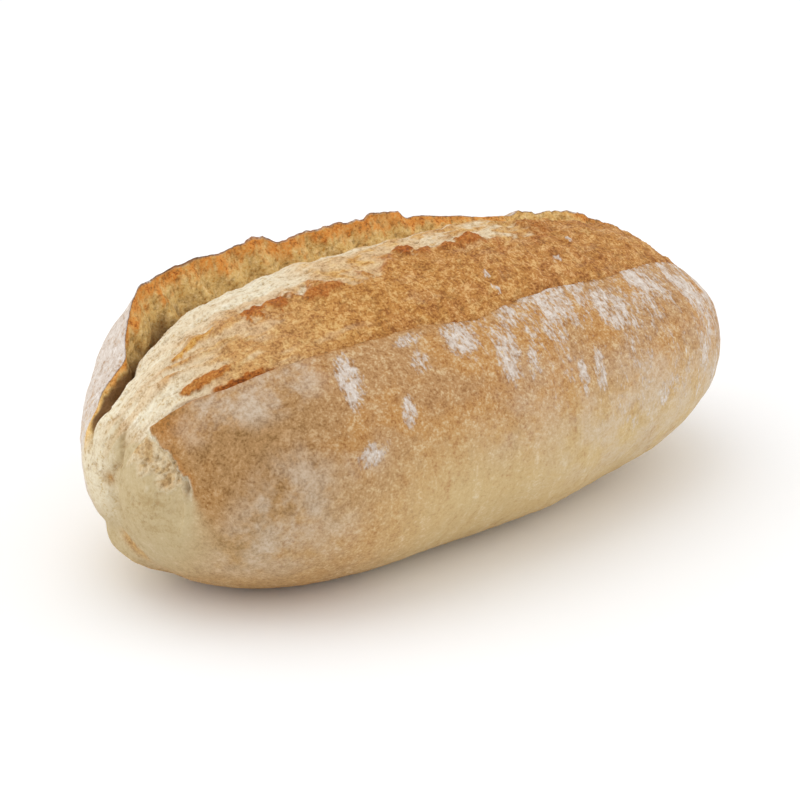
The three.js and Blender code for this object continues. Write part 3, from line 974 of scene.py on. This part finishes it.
def crust_material(colours):
    """Baked crust with flour, torn crumb, brown skin and toasted edges, by the mesh's masks, with painted
    shade in pits and crevices and painted light inside the ear.
    """
    material = bpy.data.materials.new("baked crust")
    make = Shading(material, colours)
    place = make.place()
    cloud = make.noise(place, 48)
    mottle = make.noise(place, 300, 4, 0.65)
    grain = make.noise(place, 950, 3, 0.7)
    streak = make.noise(make.place(0.2, FLOUR_TILT), 170, 4, 0.65)

    speckle = make.both(mottle, 0.45, grain, 0.55)
    crust = make.tones(speckle, 0.13, "crust_dark", "crust_tan", "crust_light")
    golden = make.tones(speckle, 0.13, "crust_brown", "crust_gold", "crust_light")
    crust = make.blend(make.ramp(cloud, 0.42, 0.6), crust, golden)
    near = make.tones(speckle, 0.11, "near_dark", "near_tan", "crust_tan")
    crust = make.blend(make.times(make.mask("dark"), make.ramp(cloud, 0.3, 0.6, 1, 0.6)), crust, near)
    lined = make.both(speckle, 0.6, streak, 0.4)
    flank = make.tones(lined, 0.18, "crust_tan", "flank", "flank_light")
    crust = make.blend(make.times(make.mask("pale"), 0.9), crust, flank)

    rind = make.tones(speckle, 0.13, "near_dark", "rind", "crust_gold")
    crust = make.blend(make.times(make.mask("rind"), 0.95), crust, rind)
    kneaded = make.both(cloud, 0.4, speckle, 0.6)
    dough = make.tones(kneaded, 0.13, "dough_dark", "dough", "dough_light")
    crust = make.blend(make.mask("bare"), crust, dough)
    haze = make.times(make.mask("haze"), make.ramp(make.noise(place, 70, 5), 0.36, 0.6))
    haze = make.times(haze, make.ramp(speckle, 0.4, 0.6, 0.35, 0.65))
    crust = make.blend(haze, crust, "haze")

    crumb = make.tones(speckle, 0.16, "crumb_tan", "crumb", "crumb_light")
    ochre = make.tones(speckle, 0.1, "ochre_dark", "ochre", "ochre_light")
    crumb = make.blend(make.mask("ochre"), crumb, ochre)
    toast = make.mask("toast")
    wall = make.mask("wall")
    # Inside the ear the crumb is painted lighter and its toasted edge a brighter orange: painted light
    # falling into the ear
    inside = make.tones(speckle, 0.14, "ochre", "wall", "lit_wall_pale")
    lit_ear_edge = make.tones(speckle, 0.14, "toasted", "lit_ear_edge", "ochre_light")
    crumb = make.blend(wall, crumb, make.blend(toast, inside, lit_ear_edge))
    coarse = make.both(speckle, 0.76, make.noise(place, 120, 3), 0.24)
    skin = make.tones(coarse, 0.09, "baked_dark", "baked", "baked_light")
    crumb = make.blend(make.mask("brown"), crumb, skin)
    toasted = make.tones(speckle, 0.12, "charred", "toasted", "toasted_light")
    torn = make.mask("crumb")
    colour = make.blend(torn, crust, crumb)
    # On the wall the dark toast is mostly left out, so the painted-light ear edge shows
    scorch = make.times(toast, make.ramp(wall, 0, 1, 1, 0.15))
    colour = make.blend(scorch, colour, toasted)
    # Painted shade: pores, pits and the bump's low points darkened, then crevices, the torn gap and the
    # dimple
    pit_shade_share = make.times(make.mask("pit"), make.ramp(grain, 0.36, 0.64, 0.8, 0.25))
    colour = make.blend(pit_shade_share, colour, "pore_shade")
    colour = make.blend(make.mask("hollow"), colour, "crevice")

    flour = make.mask("flour")
    patches = make.sums("SUBTRACT", make.noise(make.place(0.4, FLOUR_TILT), 110, 6, 0.7, 0.3), 0.5)
    flecks = make.sums("SUBTRACT", make.noise(make.place(0.45, FLOUR_TILT), 800, 4, 0.7), 0.5)
    level = make.sums("ADD", flour, make.both(patches, 2.3, flecks, 3.2))
    dust = make.times(make.ramp(level, 0.38, 1.2), make.ramp(flour, 0.03, 0.35, 0, 0.94))
    powder = make.tones(speckle, 0.12, "flour_shade", "flour", "flour_light")
    colour = make.blend(dust, colour, powder)

    crust_bump = make.both(speckle, 0.7, dust, 0.2)
    crumb_bump = make.times(make.sums("ADD", mottle, speckle), 1.1)
    smooth_part = make.times(crust_bump, make.sums("SUBTRACT", 1, torn))
    height = make.sums("ADD", smooth_part, make.times(crumb_bump, torn))
    bump = make.node("Bump", {"Strength": BUMP_STRENGTH, "Distance": BUMP_DISTANCE, "Height": height})
    finish = {
        "Base Color": colour,
        "Roughness": make.ramp(dust, 0, 1, 0.7, 0.95),
        "Specular IOR Level": 0.2,
        "Normal": bump.outputs["Normal"],
    }
    make.give(make.surface, finish)
    return material


def floor_material(colour):
    """Plain pale paper for the stage."""
    material = bpy.data.materials.new("stage paper")
    make = Shading(material, {"floor": colour})
    make.give(make.surface, {"Base Color": "floor", "Roughness": 0.95, "Specular IOR Level": 0.1})
    return material


def place_object(name, data):
    """A new object in the scene's collection."""
    made = bpy.data.objects.new(name, data)
    bpy.context.scene.collection.objects.link(made)
    return made


def aim(made, target):
    """Turns a camera or light towards a point."""
    toward = Vector(target) - made.location
    made.rotation_euler = toward.to_track_quat("-Z", "Y").to_euler()


# Settings that a user would change


def size(label, about, default):
    """A size in metres."""
    return bpy.props.FloatProperty(
        name=label, description=about, default=default, min=0, unit="LENGTH", precision=4
    )


def tint(label, about, *seen):
    """A colour, given as it is seen, 0 to 255, and kept as the linear values that a shader takes."""
    share = np.array(seen) / 255
    linear = np.where(share <= 0.04045, share / 12.92, ((share + 0.055) / 1.055) ** 2.4).tolist()
    return bpy.props.FloatVectorProperty(
        name=label, description=about, default=linear, size=3, min=0, max=1, subtype="COLOR"
    )


def strength(label, about, default, unit):
    """Strength of a light."""
    return bpy.props.FloatProperty(name=label, description=about, default=default, min=0, unit=unit)


class LoafShape(bpy.types.PropertyGroup):
    """Main sizes of the loaf."""

    length: size("Length", "From end to end", 0.28)
    width: size("Width", "Across the flanks", 0.144)
    crust_height: size("Crust height", "Top of the plain crust over the table", 0.099)
    belly_height: size("Belly height", "Where the flanks are widest", 0.0485)
    flap_lift: size("Flap lift", "How far the near flap curls up", 0.0022)
    bloom_rise: size("Bloom rise", "Height of the bloom over the plain crust", 0.0095)
    crevice_depth: size("Crevice depth", "Depth of the crevice beside the ear", 0.012)
    ear_lift: size("Ear lift", "Height of the ear over the plain crust", 0.0156)


class LoafColours(bpy.types.PropertyGroup):
    """Colours of the crust, the crumb and the flour, with painted shade for pores and crevices and painted
    light for the inside of the ear.
    """

    crust_gold: tint("Golden crust", "Golden clouds in the crust", 190, 141, 83)
    crust_tan: tint("Tan crust", "Main colour of the crust", 182, 139, 92)
    crust_dark: tint("Dark grain", "Dark specks of the crust", 150, 106, 62)
    crust_brown: tint("Brown grain", "Dark specks of the golden clouds", 160, 106, 54)
    crust_light: tint("Light grain", "Light specks of the crust", 212, 183, 141)
    near_tan: tint("Browner crust", "Crust towards the pale end", 162, 124, 78)
    near_dark: tint("Browner grain", "Dark specks towards the pale end", 130, 94, 48)
    flank: tint("Pale flank", "Lower flank, less baked", 206, 181, 132)
    flank_light: tint("Pale streaks", "Light streaks of the lower flank", 222, 205, 170)
    flour: tint("Flour", "Dry flour on the crust", 213, 202, 192)
    flour_light: tint("Light flour", "Lightest flour on the crust", 228, 220, 213)
    flour_shade: tint("Flour shade", "Flour in the hollows of the crust", 194, 176, 160)
    haze: tint("Flour haze", "Thin flour on the crust", 208, 193, 174)
    rind: tint("Torn crust edge", "Edge of a flap", 170, 112, 48)
    dough: tint("Bare dough", "Pale end", 194, 174, 134)
    dough_dark: tint("Bare dough grain", "Darker grain of the pale end", 178, 154, 110)
    dough_light: tint("Bare dough, light", "Lighter places of the pale end", 208, 190, 154)
    crumb: tint("Crumb", "Pale torn crumb", 235, 223, 195)
    crumb_light: tint("Light crumb", "Lightest torn crumb", 246, 238, 218)
    crumb_tan: tint("Tan crumb", "Darker torn crumb", 206, 177, 126)
    # The ear's crumb and its edge are painted lighter than the ochre crumb and the toasted edge: painted
    # light inside the ear
    wall: tint("Ear crumb", "Torn inside of the ear", 230, 194, 124)
    lit_ear_edge: tint("Ear edge", "Inside of the ear along its edge", 232, 155, 70)
    lit_wall_pale: tint("Light ear crumb", "Lighter places inside the ear", 248, 216, 158)
    ochre: tint("Ochre crumb", "Yellow crumb near the brown skin", 206, 150, 70)
    ochre_light: tint("Light ochre", "Lighter grain of the ochre crumb", 226, 184, 108)
    ochre_dark: tint("Dark ochre", "Darker grain of the ochre crumb", 166, 108, 42)
    baked: tint("Brown skin", "Baked skin of the bloom", 187, 127, 65)
    baked_dark: tint("Dark skin", "Dark grain of the baked skin", 138, 82, 34)
    baked_light: tint("Light skin", "Light grain of the baked skin", 224, 178, 119)
    toasted: tint("Toasted edge", "Torn edges that caught the heat", 174, 94, 30)
    toasted_light: tint("Light toast", "Lightest grain of the torn edges", 200, 128, 54)
    charred: tint("Dark edge", "Darkest grain of the torn edges", 122, 64, 22)
    # Painted shade: inside pores and pits, and deep in the slash, the torn gap, the dimple and along the foot
    pore_shade: tint("Pore", "Inside the pores", 152, 114, 64)
    crevice: tint("Crevice", "Deep in the slash", 104, 68, 34)


class LoafStage(bpy.types.PropertyGroup):
    """Floor, lights and backdrop."""

    floor: tint("Floor", "Plain pale floor", 250, 250, 250)
    sky_strength: strength("Sky", "Strength of the even light", 0.9, "NONE")
    top_power: strength("Top light", "Power of the large light overhead", 3, "POWER")
    side_power: strength("Side lights", "Power of each light at the sides", 3, "POWER")


class LOAF_OT_bake(bpy.types.Operator):
    """Builds the loaf with its crust, bloom, flaps and ear"""

    bl_idname = "loaf.bake"
    bl_label = "Bake the loaf"
    bl_options = {"REGISTER", "UNDO"}

    def execute(self, context):
        settings = context.scene.loaf_shape
        shape = {name: getattr(settings, name) / MILLIMETRE for name in LoafShape.__annotations__}
        surface = loaf_surface(shape)
        low = surface["points"].min(axis=(0, 1))
        high = surface["points"].max(axis=(0, 1))
        middle = (low + high) / 2
        dressed, masks = dress(surface)
        dressed = dressed - np.array((middle[0], middle[1], low[2]))
        mesh = loaf_mesh("loaf_visual", dressed, masks)
        palette = context.scene.loaf_colours
        colours = {name: tuple(getattr(palette, name)) for name in LoafColours.__annotations__}
        mesh.materials.append(crust_material(colours))
        loaf = place_object("loaf_visual", mesh)
        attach(loaf, "root")
        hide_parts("loaf")
        return {"FINISHED"}


class LOAF_OT_stage(bpy.types.Operator):
    """Sets out the floor, the lights and the camera"""

    bl_idname = "loaf.stage"
    bl_label = "Set the stage"
    bl_options = {"REGISTER", "UNDO"}

    def execute(self, context):
        scene = context.scene
        settings = scene.loaf_stage
        mesh = bpy.data.meshes.new("stage_floor")
        corners = [(x * FLOOR_HALF, y * FLOOR_HALF, 0) for x, y in ((-1, -1), (1, -1), (1, 1), (-1, 1))]
        mesh.from_pydata(corners, [], [(0, 1, 2, 3)])
        mesh.materials.append(floor_material(tuple(settings.floor)))
        floor = place_object("stage_floor", mesh)

        world = bpy.data.worlds.new("soft sky")
        world.use_nodes = True
        sky = world.node_tree.nodes["Background"]
        sky.inputs["Color"].default_value = (1, 1, 1, 1)
        sky.inputs["Strength"].default_value = settings.sky_strength
        scene.world = world

        for name, power, width, spot in LIGHTS:
            data = bpy.data.lights.new(name, "AREA")
            data.shape = "DISK"
            data.size = width
            data.energy = getattr(settings, power)
            light = place_object(name, data)
            light.location = spot
            aim(light, LIGHT_TARGET)

        turn = CAMERA_TURN * DEGREE
        rise = CAMERA_RISE * DEGREE
        back = Vector((math.sin(turn) * math.cos(rise), -math.cos(turn) * math.cos(rise), math.sin(rise)))
        target = Vector(CAMERA_TARGET) * MILLIMETRE
        data = bpy.data.cameras.new("camera")
        data.lens = CAMERA_LENS
        data.sensor_width = CAMERA_SENSOR
        data.clip_end = CAMERA_SIGHT
        camera = place_object("camera", data)
        camera.location = target + back * CAMERA_DISTANCE * MILLIMETRE
        aim(camera, target)
        scene.camera = camera
        scene.view_settings.view_transform = "Standard"
        scene.view_settings.look = "None"
        return {"FINISHED"}


# Settings by their name on the scene
SETTINGS = {"loaf_shape": LoafShape, "loaf_colours": LoafColours, "loaf_stage": LoafStage}


class LOAF_PT_panel(bpy.types.Panel):
    """Lists the loaf's sizes, colours and steps"""

    bl_idname = "LOAF_PT_panel"
    bl_label = "Sourdough loaf"
    bl_space_type = "VIEW_3D"
    bl_region_type = "UI"
    bl_category = "Loaf"

    def draw(self, context):
        layout = self.layout
        for group_name, group in SETTINGS.items():
            box = layout.box()
            for name in group.__annotations__:
                box.prop(getattr(context.scene, group_name), name)
        layout.operator(LOAF_OT_bake.bl_idname)
        layout.operator(LOAF_OT_stage.bl_idname)


CLASSES = (*SETTINGS.values(), LOAF_OT_bake, LOAF_OT_stage, LOAF_PT_panel)


def register():
    """Registers the classes and hangs the settings on the scene."""
    for made in CLASSES:
        bpy.utils.register_class(made)
    for name, group in SETTINGS.items():
        setattr(bpy.types.Scene, name, bpy.props.PointerProperty(type=group))


def unregister():
    """Takes the settings and the classes away again."""
    for name in SETTINGS:
        delattr(bpy.types.Scene, name)
    for made in reversed(CLASSES):
        bpy.utils.unregister_class(made)


def main():
    """Builds the loaf and its stage."""
    register()
    bpy.ops.loaf.bake()
    bpy.ops.loaf.stage()
    bpy.context.view_layer.update()


if __name__ == "__main__":
    main()
